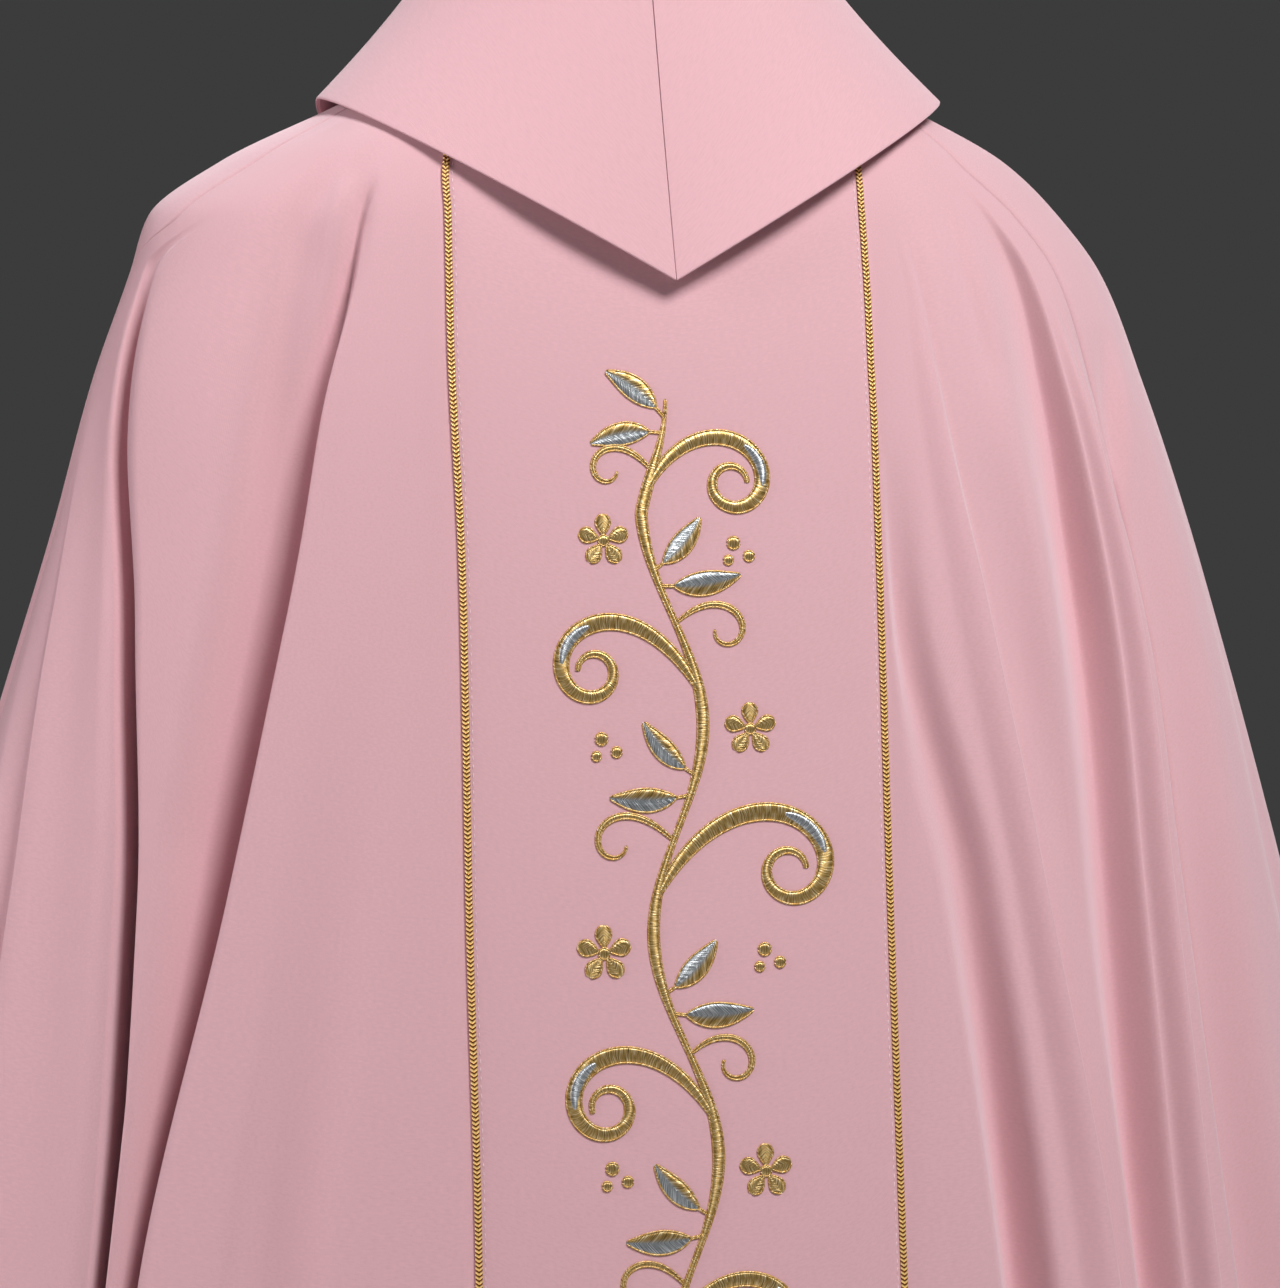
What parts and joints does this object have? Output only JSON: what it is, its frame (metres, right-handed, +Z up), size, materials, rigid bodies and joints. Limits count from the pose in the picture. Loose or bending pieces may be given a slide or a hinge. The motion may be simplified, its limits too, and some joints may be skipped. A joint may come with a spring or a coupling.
{
  "type": "chasuble",
  "caption": "Wide sleeveless outer vestment worn over both arms, open at neck, sides and hem, with a pointed turned-over collar and a braid-edged centre strip down the back.",
  "frame": {"origin": "middle of the neck seam at shoulder level, where the wearer's neck holds the garment up", "axes": "+Z up, the back of the garment faces +Y, +X is the wearer's left"},
  "size_m": [0.8687, 0.4836, 1.3427],
  "materials": {
    "cloth": "matt fine plain weave, rose",
    "strip_cloth": "matt fine plain weave, rose, embroidered in gold and grey-blue",
    "braid": "narrow gold chevron braid, metallic thread"
  },
  "bodies": {
    "root": {"back": "cloth", "front": "cloth", "back_orphrey": "strip_cloth", "braid_left": "braid", "braid_right": "braid", "collar_left": "cloth", "collar_right": "cloth"}
  },
  "joints": []
}
